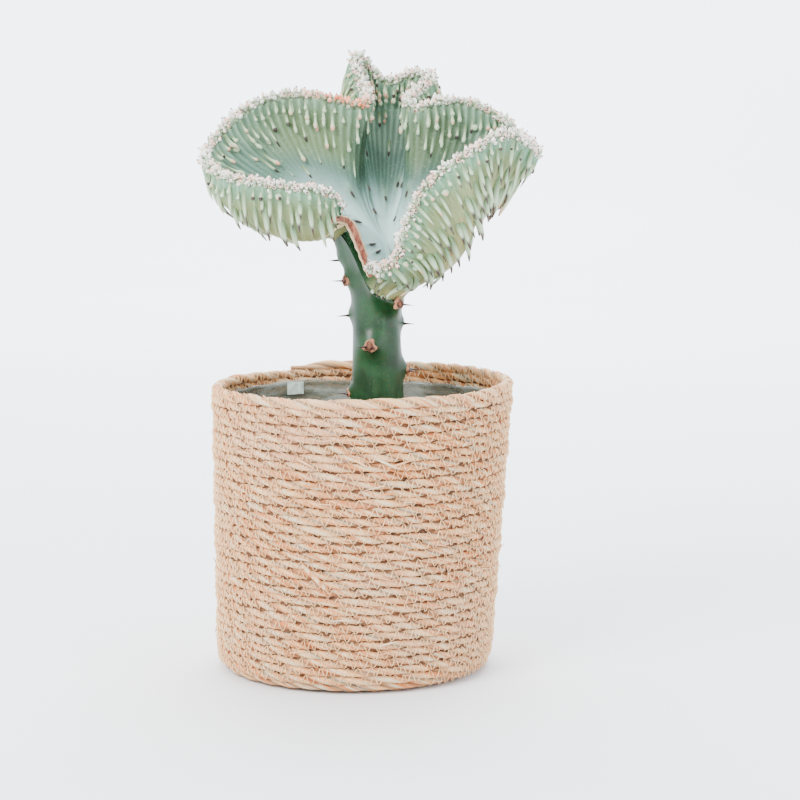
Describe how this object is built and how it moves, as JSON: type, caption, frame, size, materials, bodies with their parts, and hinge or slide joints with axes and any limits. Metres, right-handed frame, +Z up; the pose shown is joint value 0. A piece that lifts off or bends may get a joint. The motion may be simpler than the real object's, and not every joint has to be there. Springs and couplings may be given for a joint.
{
  "type": "coral cactus",
  "caption": "Grafted coral cactus: a fan-shaped ribbed crest with a beaded edge on a spiny green stem, potted in a sewn grass-rope basket with a clear film lining.",
  "frame": {"origin": "on the ground, under the centre of the basket's base", "axes": "+Z up; -Y is the front as in the picture, where the crest opens; +X to the right seen from the front"},
  "size_m": [0.1863, 0.1664, 0.3416],
  "materials": {
    "grass_rope": "dry twisted grass rope, sewn coil on coil with pale thread",
    "clear_film": "clear glossy film, slightly crumpled",
    "patch": "pale satin",
    "dark_plastic": "satin black",
    "soil": "loose dark potting soil with grit",
    "green_stem": "waxy mid green",
    "scar_cork": "dry pinkish brown cork",
    "crest_skin": "powdery blue-green inside, pale yellow-green outside",
    "edge_beads": "waxy white and pink beads with dark tips"
  },
  "bodies": {
    "root": {"basket": "grass_rope", "film_lining": "clear_film", "film_patch": "patch", "growing_pot": "dark_plastic", "soil": "soil", "rootstock": "green_stem", "graft_scar": "scar_cork", "crest": "crest_skin", "growing_edge": "edge_beads"}
  },
  "joints": []
}
